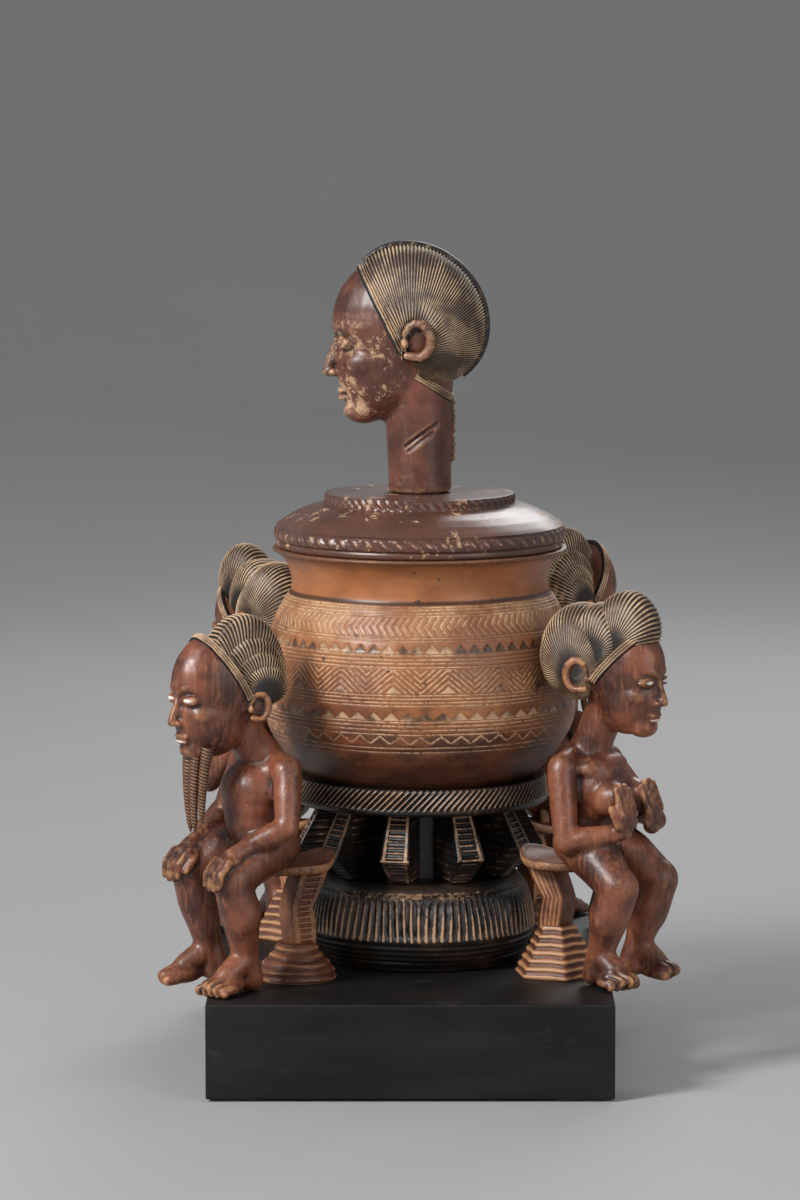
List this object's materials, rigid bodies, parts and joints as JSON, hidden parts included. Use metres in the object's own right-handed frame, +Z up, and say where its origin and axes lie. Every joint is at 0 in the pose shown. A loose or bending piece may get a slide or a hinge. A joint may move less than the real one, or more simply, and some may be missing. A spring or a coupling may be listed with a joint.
{
  "type": "ointment cup",
  "caption": "Lidded wooden ointment cup with a carved head as its handle, on an openwork stand with seated figures on stools around it, set on a black block.",
  "frame": {"origin": "on the cup's axis, at the level of the surface that the pads stand on", "axes": "+Z up along the cup's axis, -Y towards the front with the gap between the two front figures, +X to the right"},
  "size_m": [0.3052, 0.318, 0.4922],
  "materials": {
    "block_black": "matt black painted wood",
    "pad_cork": "thin cork pads",
    "stand_black": "blackened carved wood, ochre on worn edges",
    "bowl_wood": "honey brown wood with pale incised bands",
    "lid_wood": "dark red-brown wood, satin, with worn ochre patches",
    "finial_wood": "red-brown polished wood with cream carved hair",
    "figure_wood": "red-brown polished wood with worn ochre edges",
    "stool_wood": "light ochre-brown carved wood",
    "peg_wood": "plain hardwood dowel",
    "pin_steel": "plain steel pin"
  },
  "bodies": {
    "root": {"display_block": "block_black", "pad_front_left": "pad_cork", "pad_front_right": "pad_cork", "pad_back_left": "pad_cork", "pad_back_right": "pad_cork", "stand_foot": "stand_black", "strut_01": "stand_black", "strut_02": "stand_black", "strut_03": "stand_black", "strut_04": "stand_black", "strut_05": "stand_black", "strut_06": "stand_black", "strut_07": "stand_black", "strut_08": "stand_black", "strut_09": "stand_black", "strut_10": "stand_black", "stand_collar": "stand_black", "bowl": "bowl_wood", "cup_pin_1": "pin_steel", "cup_pin_2": "pin_steel", "man_front_left": "figure_wood", "stool_front_left": "stool_wood", "seat_peg_front_left": "peg_wood", "stool_pin_front_left": "pin_steel", "woman_front_right": "figure_wood", "stool_front_right": "stool_wood", "seat_peg_front_right": "peg_wood", "stool_pin_front_right": "pin_steel", "woman_back_left": "figure_wood", "stool_back_left": "stool_wood", "seat_peg_back_left": "peg_wood", "stool_pin_back_left": "pin_steel", "man_back_right": "figure_wood", "stool_back_right": "stool_wood", "seat_peg_back_right": "peg_wood", "stool_pin_back_right": "pin_steel"},
    "lid": {"lid": "lid_wood", "finial_head": "finial_wood", "finial_dowel": "peg_wood"}
  },
  "joints": [
    {"name": "lid_lift", "type": "slide", "parent": "root", "child": "lid", "axis": [0, 0, 1], "range_m": [0, 0.12]}
  ]
}
